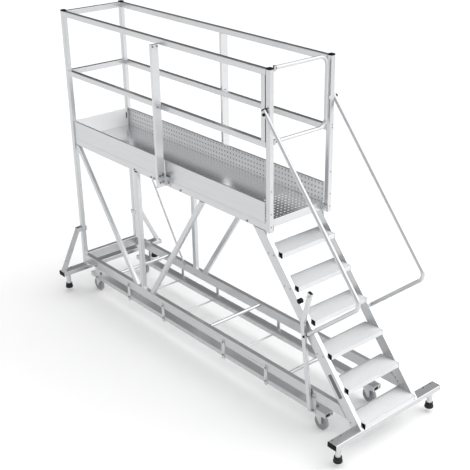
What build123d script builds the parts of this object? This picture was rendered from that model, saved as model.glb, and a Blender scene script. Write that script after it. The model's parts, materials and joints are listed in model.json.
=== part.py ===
# Mobile work platform: a decked aluminium walkway on a wheeled base, with a stair at one end.
# Millimetres. +X runs along the deck towards the stair, +Z is up, and the origin lies on the
# floor under the middle of the overall box. Lengths along X are first measured from the rear posts.
# It stands ready to roll: the castors carry it and the rubber feet hang clear of the floor.
import os
from math import atan2, cos, sin

from build123d import *

# Heights
DECK_Z = 1451.0             # walking face of the deck above the floor
GUARD_TALL = 1107.0         # top of the capped posts above the deck
KNEE_TALL = 601.0           # top of the knee rail above the deck
TOE_TALL = 152.0            # toe board above the deck
DECK_BEAM_TALL = 61.0       # edge beam below the walking face
BASE_GAP = 70.0             # base side rails above the castor bars
BEAM_DROP = 32.0            # top of the stabiliser beams below the base side rails
FOOT_LIFT = 36.0            # rubber feet above the floor

# Places along X, measured from the rear posts
STAIR_POST_X = 2558.0
MID_POST_X = 1345.0
FAR_POST_BACK = 21.0        # the far middle post stands this far behind the near one
LEG_X = 938.0
DECK_SHORT = 45.0           # the deck ends this far behind the stair posts
BASE_SHORT = 205.0          # castors and hangers lie alike from the rear posts and from here behind the front beam
CASTOR_IN = 212.0           # swivel axes, in from both ends of the base
BAR_IN = 102.0              # ends of the castor bars
HANGER_IN = (730.0, 1233.0)
CROSS_TUBE_X = (540.0, 1818.0, 2745.0)

# Places across Y, as half widths
POST_Y = 286.0
DECK_LAP = 8.0              # outer face of toe boards and edge beams, outside the middle of the posts
BASE_LAP = 2.0              # middle of the base rails, inside the middle of the posts
FAR_BAR_IN = 19.0           # outer face of the far castor bar, inside that of the base rail
BEAM_HALF = 545.0           # end of a stabiliser beam, without its cap
FOOT_IN = 61.0              # foot, in from the end of its beam

# Profiles
POST = 40.0                 # square posts, legs and rails
POST_WALL = 2.5
POST_ROUND = 6.0
RAIL_TALL = 42.0
RAIL_ROUND = 3.0
MID_POST_WIDE = 22.0        # flat middle posts stand outside the rails
MID_POST_DEEP = 68.0
BEAM_WIDE = 80.0            # stabiliser beams and castor bars lie flat, base rails stand upright
BEAM_TALL = 40.0
BEAM_ROUND = 4.0
WALL = 3.0
SHEET = 3.0                 # deck and toe boards
SHEET_GAP = 1.0             # round the deck sheet
TOE_LIP = 14.0
DECK_BEAM_WIDE = 32.0
BEARERS = 6
BAR_CHAMBER_TALL = 24.0     # the two hollows of a castor bar
BAR_CHAMBERS = ((-0.12, 43.0), (0.39, 7.0))     # middle as a share of the bar's width, width
CROSS_TUBE_D = 28.0
CROSS_TUBE_DROP = 18.0      # middle of the cross tubes below the top of the base rails
HANGER_D = 14.0
STRAP_WIDE = 30.0
STRAP_THICK = 6.0
STRAP_LAP = 45.0            # near straps up the outer face of the base rail
BRACE_WIDE = 30.0
STAY = 34.0
CAP = 4.0                   # plastic end caps
POST_CAP = 7.0              # thicker ones on the posts

# Braces and stays
REAR_BRACE_FOOT = 100.0     # behind the legs
REAR_BRACE_HEAD = 50.0      # ahead of the rear posts
FRONT_BRACE_FOOT = 132.0    # ahead of the legs
FRONT_BRACE_RUN = 730.0
STAY_RISE = 382.0           # top of the rear stays above the rear beam
STAY_RUN = 190.0            # how far a stay leans in over its rise
STAY_IN = 20.0              # its foot, in from the end of the beam
CLAMP_TALL = 38.0           # collars that hold the stays to the posts
CLAMP_WALL = 6.0
CHEEK_THICK = 3.0           # cheeks on both sides of a stay
CHEEK_LONG = 46.0

# Uprights and brackets of the side panels
UPRIGHT_GAP = 7.0           # end uprights behind the stair posts
MID_POST_DROP = 46.0        # top of the middle posts below that of the capped posts
MID_POST_FOOT = 6.0         # their lower end above the foot of the edge beams
BRACKET_WIDE = 55.0
BRACKET_TALL = 77.0
BRACKET_THICK = 4.0

# Stair
TREADS = 6
RUN = 168.7
TOP_NOSE = 104.0            # nose of the top tread ahead of the stair posts
NOSE_DEEP = 20.0            # noses ahead of the stringers, at mid-height of a tread
TREAD_DEEP = 172.0
TREAD_TALL = 38.0
TREAD_CAP = 38.0            # plastic caps at the ends of the noses
STRINGER_LAP = 12.0         # outer face of a stringer outside the middle of the posts
STRINGER_WIDE = 34.0
STRINGER_DEEP = 88.0
FRONT_LAP = 1.5             # bottom nose behind the front edge of its beam

# Handrails
HANDRAIL_D = 30.0
HANDRAIL_GAP = 1.0          # between posts and handrails
HANDRAIL_BACK = 6.0         # upper end behind the middle of the stair posts
HANDRAIL_TOP_DROP = 296.0   # upper end below the top of the posts
HANDRAIL_FOOT_DROP = 686.0  # lower end below the deck
HANDRAIL_FOOT_AHEAD = 12.0  # lower end ahead of the stringer's middle line
HANDRAIL_BEND = 62.0
STANDOFF_D = 22.0
STANDOFF_IN = 14.0          # standoffs, in from the ends of a handrail

# Gate
GATE_D = 27.0
GATE_DROP = 5.0             # middle of the top bar below the top of the posts
GATE_TALL = 506.0           # between the middles of both bars
GATE_GAP = 9.5              # free edge to the far stair post
GATE_BEND = 62.0
HINGE_GAP = 22.0            # hinge line to the near stair post
HINGE_PIN_D = 10.0
HINGE_FIT = 0.1             # clearance round the hinge pins
BARREL_D = 22.0
BARREL_TALL = 34.0
LUG_TALL = 6.0
LUG_HALF = 9.0
STOP_DROP = 293.0           # gate stop on the far post, below the top bar
STOP_TALL = 24.0
STOP_WIDE = 12.0
STOP_THICK = 5.0

# Tie rod under the deck
TIE_D = 16.0
TIE_BACK = 255.0            # its upper end lies behind the near middle post
TIE_FOOT_BACK = 149.0       # its lower end lies behind the legs

# Lever that raises and lowers the near castor bar
LEVER_WIDE = 34.0
LEVER_DEEP = 21.0
LEVER_GAP = 7.0             # between the castor bar and the lever
LEVER_FOOT = (-25.0, -15.0)     # X from the swivel axis, Z from the top of the bar
LEVER_ELBOW = (-110.0, 664.0)
LEVER_TOP = (-42.0, 920.0)
LEVER_PIN_D = 14.0
GRIP_ROD_D = 12.0
GRIP_ROD_LONG = 62.0
GRIP_ROD_DROP = 30.0        # below the top of the lever
GRIP_D = 38.0
GRIP_LONG = 32.0

# Castors
CASTOR_TRAIL = 40.0
WHEEL_D = 125.0
WHEEL_WIDE = 32.0
WHEEL_CHAMFER = 5.0
WHEEL_CLEAR = 5.0           # under the crown and beside the fork legs
AXLE_D = 12.0
RUN_FIT = 0.1               # clearance round axles and king pins
FORK_THICK = 3.0
HEAD_WIDE = 56.0
HEAD_TALL = 2.7
SEAT_GAP = 0.3
CROWN_BACK = 26.0           # crown behind the swivel axis
LEG_HALF = 16.0             # half width of a fork leg at the axle

# Feet
FOOT_TUBE_D = 42.0
FOOT_D = 68.0
FOOT_TAPER = 5.0
FOOT_TALL = 45.0

# Worked-out places
POST_HALF = POST / 2
TOP_Z = DECK_Z + GUARD_TALL
KNEE_Z = DECK_Z + KNEE_TALL
DECK_BEAM_Z = DECK_Z - DECK_BEAM_TALL
BAR_LOW = WHEEL_D + WHEEL_CLEAR + FORK_THICK + HEAD_TALL + SEAT_GAP
BAR_TOP = BAR_LOW + BEAM_TALL
BASE_LOW = BAR_TOP + BASE_GAP
BASE_TOP = BASE_LOW + BEAM_WIDE
BEAM_TOP = BASE_LOW - BEAM_DROP
BEAM_LOW = BEAM_TOP - BEAM_TALL
DECK_HALF = POST_Y + DECK_LAP
BASE_Y = POST_Y - BASE_LAP
BASE_OUT = BASE_Y + BEAM_TALL / 2       # outer face of the base rails and of the near castor bar
BAR_Y = (BEAM_WIDE / 2 - BASE_OUT, BASE_OUT - FAR_BAR_IN - BEAM_WIDE / 2)       # near and far castor bar
FOOT_Y = BEAM_HALF - FOOT_IN
STRINGER_OUT = POST_Y + STRINGER_LAP
HANDRAIL_Y = POST_Y + POST_HALF + HANDRAIL_GAP + HANDRAIL_D / 2
RISE = (DECK_Z - BEAM_TOP - TREAD_TALL) / TREADS
SLOPE = atan2(RISE, RUN)
DOWN = Vector(cos(SLOPE), 0, -sin(SLOPE))
STRINGER_HALF = STRINGER_DEEP / 2 / sin(SLOPE)      # half depth, measured along X
TOP_NOSE_X = STAIR_POST_X + TOP_NOSE
TOP_TREAD_Z = DECK_Z - RISE - TREAD_TALL / 2        # mid-height of the top tread
FRONT_BEAM_X = TOP_NOSE_X + (TREADS - 1) * RUN + FRONT_LAP - BEAM_WIDE / 2
BASE_LONG = FRONT_BEAM_X - BASE_SHORT
DECK_END_X = STAIR_POST_X - DECK_SHORT
MIDDLE_X = FRONT_BEAM_X / 2
CENTRE_BOTTOM = (Align.CENTER, Align.CENTER, Align.MIN)

os.makedirs("parts", exist_ok=True)


def node(name, solids):
    """Moves solids to the middle of the overall box and writes them as one node."""
    moved = [Pos(-MIDDLE_X, 0, 0) * s for s in solids]
    export_step(Compound(children=moved), f"parts/{name}.step")


def box(x, y, z):
    """A box between two limits on each axis."""
    size = (x[1] - x[0], y[1] - y[0], z[1] - z[0])
    return Pos(sum(x) / 2, sum(y) / 2, sum(z) / 2) * Box(*size)


def tube(start, end, wide, tall, wall, rounding=0.0, side=(0, 1, 0)):
    """A rectangular tube from start to end, rounded outside; wide is measured along the side direction."""
    axis = Vector(*end) - Vector(*start)
    plane = Plane(origin=start, x_dir=side, z_dir=axis)
    section = RectangleRounded(wide, tall, rounding) if rounding else Rectangle(wide, tall)
    hollow = Rectangle(wide - 2 * wall, tall - 2 * wall)
    return extrude(plane * (section - hollow), amount=axis.length)


def rod(points, diameter, bend=0.0):
    """A round bar along straight runs, with an arc of the given radius at each inner point."""
    path = Polyline(*points) if bend == 0.0 else FilletPolyline(*points, radius=bend)
    start = Plane(origin=path @ 0, z_dir=path % 0)
    return sweep(start * Circle(diameter / 2), path=path)


def mirrored(piece):
    """The same piece on the near side and on the far side."""
    return [piece, mirror(piece, about=Plane.XZ)]


def slab(low, high):
    """Everything between two levels, for cutting slanted pieces off flat."""
    reach = 2 * FRONT_BEAM_X
    return box((-reach, reach), (-reach, reach), (low, high))


def stringer_x(z):
    """Middle line of a stringer, which runs a fixed depth behind the noses of the treads."""
    front = TOP_NOSE_X - NOSE_DEEP + (TOP_TREAD_Z - z) * RUN / RISE
    return front - STRINGER_HALF


def ahead_of_stringer(low, high):
    """Everything ahead of the stringers' rear line between two levels, for mitred ends."""
    line = [(stringer_x(z) - STRINGER_HALF, z) for z in (high, low)]
    outline = Polyline(*line, (FRONT_BEAM_X, low), (FRONT_BEAM_X, high), close=True)
    return extrude(make_face(Plane.XZ * outline), amount=BEAM_HALF, both=True)


def from_both_ends(distance):
    """The two places that lie alike from both ends of the base."""
    return (distance, BASE_LONG - distance)


def post(x, y, low, high):
    """An upright square tube."""
    return tube((x, y, low), (x, y, high), POST, POST, POST_WALL, POST_ROUND)


def posts():
    """Rear corner posts stand on the rear beam, stair posts hang at the deck's end."""
    high = TOP_Z - POST_CAP
    node("corner_posts", mirrored(post(0, -POST_Y, BEAM_TOP, high)))
    node("stair_posts", mirrored(post(STAIR_POST_X, -POST_Y, DECK_BEAM_Z, high)))
    caps = []
    for x in (0, STAIR_POST_X):
        cap = extrude(RectangleRounded(POST, POST, POST_ROUND), amount=POST_CAP)
        caps += mirrored(Pos(x, -POST_Y, high) * cap)
    return caps


def staggered(piece):
    """A middle post's piece on the near side, and further back on the far side."""
    return [piece, Pos(-FAR_POST_BACK, 0, 0) * mirror(piece, about=Plane.XZ)]


def mid_posts():
    """Flat middle posts stand against the rails; an angle ties each one to the edge beam."""
    inner = -POST_Y - POST_HALF
    y = inner - MID_POST_DEEP / 2
    low = DECK_BEAM_Z + MID_POST_FOOT
    upright = tube((MID_POST_X, y, low), (MID_POST_X, y, TOP_Z - MID_POST_DROP),
                   MID_POST_DEEP, MID_POST_WIDE, POST_WALL, RAIL_ROUND)
    node("mid_posts", staggered(upright))

    face = MID_POST_X + MID_POST_WIDE / 2
    tall = (low - CAP, low - CAP + BRACKET_TALL)
    on_beam = box((face, face + BRACKET_WIDE), (-DECK_HALF - BRACKET_THICK, -DECK_HALF), tall)
    on_post = box((face, face + BRACKET_THICK), (inner - MID_POST_DEEP, -DECK_HALF), tall)
    node("mid_post_brackets", staggered(on_beam + on_post))
    plug = box((MID_POST_X - MID_POST_WIDE / 2, face), (inner - MID_POST_DEEP, inner), (low - CAP, low))
    return staggered(plug)


def rails():
    """Top and knee rails run from post to post along both sides and across the rear."""
    inside = POST_Y - POST_HALF
    end = STAIR_POST_X - POST_HALF
    high = TOP_Z - POST_CAP
    for name, top in (("top_rails", high), ("knee_rails", KNEE_Z)):
        z = top - RAIL_TALL / 2
        along = tube((POST_HALF, -POST_Y, z), (end, -POST_Y, z), POST, RAIL_TALL, POST_WALL, RAIL_ROUND)
        rear = tube((0, -inside, z), (0, inside, z), POST, RAIL_TALL, POST_WALL, RAIL_ROUND, (1, 0, 0))
        node(name, mirrored(along) + [rear])
    # a short upright closes each side panel beside the stair post
    x = end - UPRIGHT_GAP - POST_HALF
    upright = tube((x, -POST_Y, KNEE_Z), (x, -POST_Y, high - RAIL_TALL), POST, POST, POST_WALL, RAIL_ROUND)
    node("end_uprights", mirrored(upright))


def deck():
    """The deck sheet, the linings that stand along its sides, and the toe boards round it."""
    long = (POST_HALF, DECK_END_X)
    board = DECK_HALF - SHEET
    lining = board - SHEET
    low = DECK_Z - SHEET
    top = DECK_Z + TOE_TALL
    half = lining - SHEET_GAP
    node("deck_sheet", [box((long[0] + SHEET_GAP, long[1]), (-half, half), (low, DECK_Z))])
    node("deck_linings", mirrored(box(long, (-board, -lining), (low, top - SHEET))))

    side = box(long, (-DECK_HALF, -board), (low, top))
    side += box(long, (-board, -DECK_HALF + TOE_LIP), (top - SHEET, top))
    node("side_toe_boards", mirrored(side))
    across = (-POST_Y + POST_HALF, POST_Y - POST_HALF)
    rear = box((POST_HALF - SHEET, POST_HALF), across, (low, top))
    rear += box((POST_HALF - TOE_LIP, POST_HALF - SHEET), across, (top - SHEET, top))
    node("rear_toe_board", [rear])


def deck_frame():
    """Edge beams under both sides and bearers across, below the deck sheet."""
    z = (DECK_BEAM_Z + DECK_Z - SHEET) / 2
    tall = DECK_BEAM_TALL - SHEET
    y = DECK_HALF - DECK_BEAM_WIDE / 2
    run = (POST_HALF, STAIR_POST_X - POST_HALF)
    beam = tube((run[0], -y, z), (run[1], -y, z), DECK_BEAM_WIDE, tall, WALL, RAIL_ROUND)
    node("edge_beams", mirrored(beam))
    inside = DECK_HALF - DECK_BEAM_WIDE
    first = run[0] + POST_HALF
    step = (DECK_END_X - POST_HALF - first) / (BEARERS - 1)
    bearers = []
    for i in range(BEARERS):
        x = first + i * step
        bearers.append(tube((x, -inside, z), (x, inside, z), POST, tall, WALL, side=(1, 0, 0)))
    rear_y = POST_Y - POST_HALF
    bearers.append(tube((0, -rear_y, z), (0, rear_y, z), POST, tall, WALL, side=(1, 0, 0)))
    node("deck_bearers", bearers)


def stringers():
    """Two slanted tubes, cut level at the top; each foot stands on the front beam."""
    y = STRINGER_OUT - STRINGER_WIDE / 2
    top = Vector(stringer_x(DECK_BEAM_Z), -y, DECK_BEAM_Z)
    start = top - DOWN * STRINGER_DEEP
    end = top + DOWN * ((DECK_BEAM_Z - BEAM_TOP) / sin(SLOPE) + STRINGER_DEEP)
    body = tube(tuple(start), tuple(end), STRINGER_WIDE, STRINGER_DEEP, WALL, RAIL_ROUND)
    # the back edge reaches down behind the beam
    notch = box((FRONT_BEAM_X - BEAM_WIDE / 2, 2 * FRONT_BEAM_X), (-2 * y, 0), (0, BEAM_TOP))
    node("stringers", mirrored((body & slab(BEAM_LOW, DECK_BEAM_Z)) - notch))


def treads():
    """Hollow treads between the stringers; plastic caps close the ends of the noses that stand out in front."""
    inside = STRINGER_OUT - STRINGER_WIDE
    steps = []
    caps = []
    for i in range(TREADS):
        low = BEAM_TOP + (TREADS - 1 - i) * RISE
        z = low + TREAD_TALL / 2
        nose = TOP_NOSE_X + i * RUN
        x = nose - TREAD_DEEP / 2
        body = tube((x, -inside, z), (x, inside, z), TREAD_DEEP, TREAD_TALL, WALL, side=(1, 0, 0))
        ends = mirrored(box((nose - TREAD_CAP, nose), (-inside, -inside + CAP), (low, low + TREAD_TALL)))
        steps.append(body - ends)
        caps += ends
    node("treads", steps)
    node("tread_caps", caps)


def handrails():
    """Each handrail falls beside the stair, turns square to it and comes back to the stringer."""
    back = Vector(-sin(SLOPE), 0, -cos(SLOPE))
    start = Vector(STAIR_POST_X - HANDRAIL_BACK, -HANDRAIL_Y, TOP_Z - HANDRAIL_TOP_DROP)
    foot_z = DECK_Z - HANDRAIL_FOOT_DROP
    foot = Vector(stringer_x(foot_z) + HANDRAIL_FOOT_AHEAD, -HANDRAIL_Y, foot_z)
    corner = start + DOWN * (foot - start).dot(DOWN)
    node("handrails", mirrored(rod([tuple(start), tuple(corner), tuple(foot)], HANDRAIL_D, HANDRAIL_BEND)))

    standoffs = []
    for end, along, inner in ((start, DOWN, POST_Y + POST_HALF), (foot, back * -1, STRINGER_OUT)):
        place = end + along * STANDOFF_IN
        reach = HANDRAIL_Y - inner
        standoff = Pos(place.X, -inner, place.Z) * Rot(90, 0, 0) * Cylinder(STANDOFF_D / 2, reach, align=CENTRE_BOTTOM)
        bar = rod([tuple(end - along * HANDRAIL_D), tuple(end + along * 4 * HANDRAIL_D)], HANDRAIL_D)
        standoffs += mirrored(standoff - bar)
    node("handrail_standoffs", standoffs)
    plugs = []
    for end, out in ((start, DOWN * -1), (foot, back)):
        face = Plane(origin=tuple(end), z_dir=tuple(out))
        plugs += mirrored(extrude(face * Circle(HANDRAIL_D / 2), amount=CAP))
    return plugs


def gate():
    """A U of round tube hung on two pins at the near stair post; it opens inwards over the deck."""
    x = STAIR_POST_X
    hinge_y = -POST_Y + POST_HALF + HINGE_GAP
    free_y = POST_Y - POST_HALF - GATE_GAP
    high = TOP_Z - GATE_DROP
    low = high - GATE_TALL
    start_y = hinge_y + BARREL_D / 2 - HINGE_PIN_D / 5
    bar_y = free_y - GATE_D / 2
    body = rod([(x, start_y, high), (x, bar_y, high), (x, bar_y, low), (x, start_y, low)], GATE_D, GATE_BEND)
    fixed = []
    for z in (high, low):
        barrel = Pos(x, hinge_y, z) * Cylinder(BARREL_D / 2, BARREL_TALL)
        bore = Pos(x, hinge_y, z) * Cylinder(HINGE_PIN_D / 2 + HINGE_FIT, 2 * BARREL_TALL)
        body = body + barrel - bore
        seat = z - BARREL_TALL / 2 - SEAT_GAP
        lug = box((x - LUG_HALF, x + LUG_HALF), (-POST_Y + POST_HALF, hinge_y + LUG_HALF), (seat - LUG_TALL, seat))
        pin = Cylinder(HINGE_PIN_D / 2, BARREL_TALL + LUG_TALL / 2, align=CENTRE_BOTTOM)
        fixed.append(lug + Pos(x, hinge_y, seat - LUG_TALL / 2) * pin)
    node("gate", [body])
    front = x + POST_HALF
    face = POST_Y - POST_HALF
    stop_low = high - STOP_DROP - STOP_TALL / 2
    fixed.append(box((front - STOP_THICK, front), (face - STOP_WIDE, face), (stop_low, stop_low + STOP_TALL)))
    node("gate_fittings", fixed)


def base():
    """Upright side rails mitred to the stringers, cross tubes, and straps and rods that hang the castor bars."""
    z = BASE_TOP - BEAM_WIDE / 2
    rail = tube((POST_HALF, -BASE_Y, z), (FRONT_BEAM_X, -BASE_Y, z), BEAM_TALL, BEAM_WIDE, WALL, BEAM_ROUND)
    node("base_side_rails", mirrored(rail - ahead_of_stringer(BASE_LOW - WALL, BASE_TOP + WALL)))
    inside = POST_Y - POST_HALF
    cross = [tube((0, -inside, z), (0, inside, z), BEAM_TALL, BEAM_WIDE, WALL, BEAM_ROUND, (1, 0, 0))]
    inside = BASE_Y - BEAM_TALL / 2
    ring = Circle(CROSS_TUBE_D / 2) - Circle(CROSS_TUBE_D / 2 - POST_WALL)
    for x in CROSS_TUBE_X:
        start = Plane(origin=(x, -inside, BASE_TOP - CROSS_TUBE_DROP), z_dir=(0, 1, 0))
        cross.append(extrude(start * ring, amount=2 * inside))
    node("base_cross_tubes", cross)

    # near straps lap the base rail, far ones stand under it against the castor bar
    near = (-BASE_OUT - STRAP_THICK, -BASE_OUT)
    far = (BASE_OUT - FAR_BAR_IN, BASE_OUT - FAR_BAR_IN + STRAP_THICK)
    hangers = [x for distance in HANGER_IN for x in from_both_ends(distance)]
    rods = []
    straps = []
    for x in hangers + list(from_both_ends(CASTOR_IN)):
        wide = (x - STRAP_WIDE / 2, x + STRAP_WIDE / 2)
        foot = BAR_LOW - HANGER_D if x in hangers else BAR_LOW
        straps += [box(wide, near, (foot, BASE_LOW + STRAP_LAP)), box(wide, far, (foot, BASE_LOW))]
    for x in hangers:
        level = BAR_LOW - HANGER_D / 2
        rods.append(rod([(x, near[1], level), (x, far[0], level)], HANGER_D))
    node("hanger_rods", rods)
    node("hanger_straps", straps)


def castor_bars():
    """Two bars with a wide and a narrow hollow carry the castors below the base."""
    ends = from_both_ends(BAR_IN)
    bars = []
    for y in BAR_Y:
        plane = Plane(origin=(ends[0], y, BAR_LOW + BEAM_TALL / 2), x_dir=(0, 1, 0), z_dir=(1, 0, 0))
        section = RectangleRounded(BEAM_WIDE, BEAM_TALL, BEAM_ROUND)
        for share, wide in BAR_CHAMBERS:
            section -= Pos(share * BEAM_WIDE, 0) * Rectangle(wide, BAR_CHAMBER_TALL)
        bar = extrude(plane * section, amount=ends[1] - ends[0])
        for x in from_both_ends(CASTOR_IN):
            bar -= Pos(x, y, BAR_LOW) * Cylinder(AXLE_D / 2 + RUN_FIT, BEAM_TALL)
        bars.append(bar)
    node("castor_bars", bars)


def stabilisers():
    """Flat beams across both ends with plastic caps, rubber feet and slanted stays at the rear."""
    z = BEAM_TOP - BEAM_TALL / 2
    caps = []
    tubes = []
    feet = []
    for name, x in (("rear_beam", 0.0), ("front_beam", FRONT_BEAM_X)):
        node(name, [tube((x, -BEAM_HALF, z), (x, BEAM_HALF, z), BEAM_WIDE, BEAM_TALL, WALL, BEAM_ROUND, (1, 0, 0))])
        end = Plane(origin=(x, -BEAM_HALF, z), x_dir=(1, 0, 0), z_dir=(0, -1, 0))
        caps += mirrored(extrude(end * RectangleRounded(BEAM_WIDE, BEAM_TALL, BEAM_ROUND), amount=CAP))
        foot_top = FOOT_LIFT + FOOT_TALL
        leg = Cylinder(FOOT_TUBE_D / 2, BEAM_LOW - foot_top, align=CENTRE_BOTTOM)
        tubes += mirrored(Pos(x, -FOOT_Y, foot_top) * leg)
        foot = Cone(FOOT_D / 2, FOOT_D / 2 - FOOT_TAPER, FOOT_TALL, align=CENTRE_BOTTOM)
        feet += mirrored(Pos(x, -FOOT_Y, FOOT_LIFT) * foot)
    node("foot_tubes", tubes)
    node("rubber_feet", feet)

    low = Vector(0, -BEAM_HALF + STAY_IN, BEAM_TOP)
    lean = Vector(0, STAY_RUN, STAY_RISE)
    stay = tube(tuple(low - lean * 0.2), tuple(low + lean * 1.2), STAY, STAY, POST_WALL, RAIL_ROUND, (1, 0, 0))
    high = BEAM_TOP + STAY_RISE
    node("rear_stays", mirrored(stay & slab(BEAM_TOP, high)))
    # a collar round each post holds the stay between two cheeks
    outer = POST_HALF + CLAMP_WALL
    level = (high - CLAMP_TALL, high)
    clamp = box((-outer, outer), (-POST_Y - outer, -POST_Y + outer), level)
    clamp -= box((-POST_HALF, POST_HALF), (-POST_Y - POST_HALF, -POST_Y + POST_HALF), level)
    reach = (-POST_Y - outer - CHEEK_LONG, -POST_Y - outer)
    clamp += box((STAY / 2, STAY / 2 + CHEEK_THICK), reach, level)
    clamp += box((-STAY / 2 - CHEEK_THICK, -STAY / 2), reach, level)
    node("stay_clamps", mirrored(clamp))
    return caps


def supports():
    """Upright legs, slanted braces and a tie rod carry the deck between the corner posts and the stair."""
    node("support_legs", mirrored(post(LEG_X, -BASE_Y, BASE_TOP, DECK_BEAM_Z)))
    front_foot = LEG_X + FRONT_BRACE_FOOT
    rise = DECK_BEAM_Z - BASE_TOP
    pair = []
    for foot, head in ((LEG_X - REAR_BRACE_FOOT, REAR_BRACE_HEAD), (front_foot, front_foot + FRONT_BRACE_RUN)):
        low = Vector(foot, -BASE_Y, BASE_TOP)
        lean = Vector(head - foot, 0, rise)
        brace = tube(tuple(low - lean * 0.1), tuple(low + lean * 1.1), BRACE_WIDE, POST, POST_WALL, RAIL_ROUND)
        pair.append(brace & slab(BASE_TOP, DECK_BEAM_Z))
    # the tie rod does the work of a rear brace on the far side
    node("braces", [pair[0]] + mirrored(pair[1]))
    # the tie runs from the near edge beam's inner face down to the far base rail's inner face
    high = Vector(MID_POST_X - TIE_BACK, -DECK_HALF + DECK_BEAM_WIDE, DECK_Z - DECK_BEAM_TALL / 2)
    low = Vector(LEG_X - TIE_FOOT_BACK, BASE_Y - BEAM_TALL / 2, BASE_TOP - TIE_D)
    spare = (high - low).normalized() * 4 * TIE_D
    tie = rod([tuple(high + spare), tuple(low - spare)], TIE_D)
    node("cross_rod", [tie & box((0, 2 * MID_POST_X), (high.Y, low.Y), (0, DECK_Z))])


def lever():
    """A bent flat tube pinned to the near castor bar, with a capped top and a grip on a side rod."""
    y = -BASE_OUT - LEVER_GAP - LEVER_DEEP / 2
    pivot = BASE_LONG - CASTOR_IN
    foot, elbow, top = [Vector(pivot + x, y, BAR_TOP + z) for x, z in (LEVER_FOOT, LEVER_ELBOW, LEVER_TOP)]
    body = tube(tuple(foot - (elbow - foot) * 0.02), tuple(elbow), LEVER_DEEP, LEVER_WIDE, POST_WALL)
    body += tube(tuple(elbow - (top - elbow) * 0.02), tuple(top), LEVER_DEEP, LEVER_WIDE, POST_WALL)
    pin = Pos(foot.X, -BASE_OUT, foot.Z) * Rot(90, 0, 0) * Cylinder(LEVER_PIN_D / 2, LEVER_GAP, align=CENTRE_BOTTOM)
    outer = y - LEVER_DEEP / 2
    along = (top - elbow).normalized()
    rod_at = top - along * GRIP_ROD_DROP
    side_rod = Cylinder(GRIP_ROD_D / 2, GRIP_ROD_LONG, align=CENTRE_BOTTOM)
    body += Pos(rod_at.X, outer, rod_at.Z) * Rot(90, 0, 0) * side_rod
    node("lift_lever", [body + pin])
    grip = Cylinder(GRIP_D / 2, GRIP_LONG, align=CENTRE_BOTTOM)
    node("lever_grip", [Pos(rod_at.X, outer - GRIP_ROD_LONG, rod_at.Z) * Rot(90, 0, 0) * grip])
    face = Plane(origin=tuple(top), x_dir=(0, 1, 0), z_dir=tuple(along))
    return [extrude(face * Rectangle(LEVER_DEEP, LEVER_WIDE), amount=CAP)]


def fork():
    """A swivel head with a king pin, a crown and two legs that hold the axle, trailing along +X."""
    top = BAR_LOW - SEAT_GAP
    crown_top = top - HEAD_TALL
    body = Pos(0, 0, top) * extrude(RegularPolygon(HEAD_WIDE / 2, 8), amount=-HEAD_TALL)
    pin_long = HEAD_TALL + (BEAM_TALL - BAR_CHAMBER_TALL) / 2
    body += Pos(0, 0, crown_top) * Cylinder(AXLE_D / 2, pin_long, align=CENTRE_BOTTOM)
    inner = WHEEL_WIDE / 2 + WHEEL_CLEAR
    outer = inner + FORK_THICK
    tail = CASTOR_TRAIL + LEG_HALF
    body += box((-CROWN_BACK, tail), (-outer, outer), (crown_top - FORK_THICK, crown_top))
    axle_z = WHEEL_D / 2
    leg = Polyline((-CROWN_BACK, crown_top), (tail, crown_top), (tail, axle_z), (CASTOR_TRAIL, axle_z - LEG_HALF),
                   (CASTOR_TRAIL - LEG_HALF, axle_z), close=True)
    side = Pos(0, -inner, 0) * extrude(make_face(Plane.XZ * leg), amount=FORK_THICK)
    body += mirrored(side)
    return body + Pos(CASTOR_TRAIL, 0, axle_z) * Rot(90, 0, 0) * Cylinder(AXLE_D / 2, 2 * outer)


def wheel():
    """A solid wheel with a chamfered tread, turned about its axle."""
    half = WHEEL_WIDE / 2
    radius = WHEEL_D / 2
    bore = AXLE_D / 2 + RUN_FIT
    edge = radius - WHEEL_CHAMFER
    flank = half - WHEEL_CHAMFER
    outline = make_face(Polyline((bore, -half), (edge, -half), (radius, -flank), (radius, flank), (edge, half),
                                 (bore, half), close=True))
    return Pos(CASTOR_TRAIL, 0, radius) * revolve(outline, axis=Axis.Y)


def castors():
    """Four swivelling castors under the castor bars, trailing towards the ends of the base."""
    rear, front = from_both_ends(CASTOR_IN)
    for row, x, heading in (("rear", rear, 180), ("front", front, 0)):
        for hand, y in zip(("near", "far"), BAR_Y):
            place = Pos(x, y, 0) * Rot(0, 0, heading)
            node(f"castor_fork_{row}_{hand}", [place * fork()])
            node(f"castor_wheel_{row}_{hand}", [place * wheel()])


end_caps = posts() + mid_posts() + handrails() + stabilisers() + lever()
node("end_caps", end_caps)
rails()
deck()
deck_frame()
stringers()
treads()
gate()
base()
castor_bars()
supports()
castors()
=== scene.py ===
import json
import math

import bmesh
import bpy
import numpy as np
from mathutils import Matrix, Vector


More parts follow.
